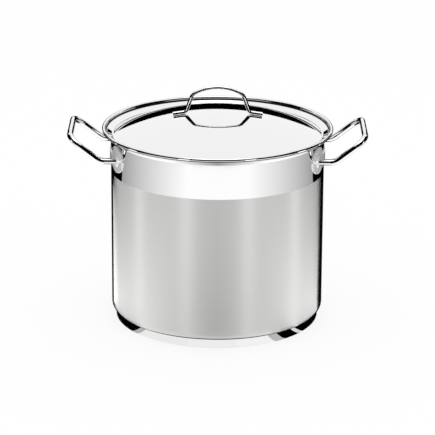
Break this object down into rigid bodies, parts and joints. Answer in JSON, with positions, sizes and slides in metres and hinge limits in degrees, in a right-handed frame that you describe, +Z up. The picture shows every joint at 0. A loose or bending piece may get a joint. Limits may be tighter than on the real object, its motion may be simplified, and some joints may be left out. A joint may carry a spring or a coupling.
{
  "type": "stockpot",
  "caption": "Tall steel stockpot with a sandwich base, two bent rod side handles on saddle brackets and a domed lid with a wire arch handle.",
  "frame": {"origin": "on the table, below the middle of the pot", "axes": "+Z up the pot's axis, +X through the middle of one side handle"},
  "size_m": [0.3348, 0.2596, 0.2696],
  "materials": {
    "wall": "horizontally brushed outside, with a polished band below the rim",
    "core": "plain, sealed inside the cap",
    "cap": "polished edge, brushed underside",
    "bracket": "polished",
    "rod": "polished",
    "lid": "polished",
    "wire": "polished"
  },
  "bodies": {
    "root": {"pot_body": "wall", "base_core": "core", "base_cap": "cap", "bracket_left": "bracket", "bracket_right": "bracket", "handle_left": "rod", "handle_right": "rod", "lid": "lid", "lid_handle": "wire"}
  },
  "joints": []
}
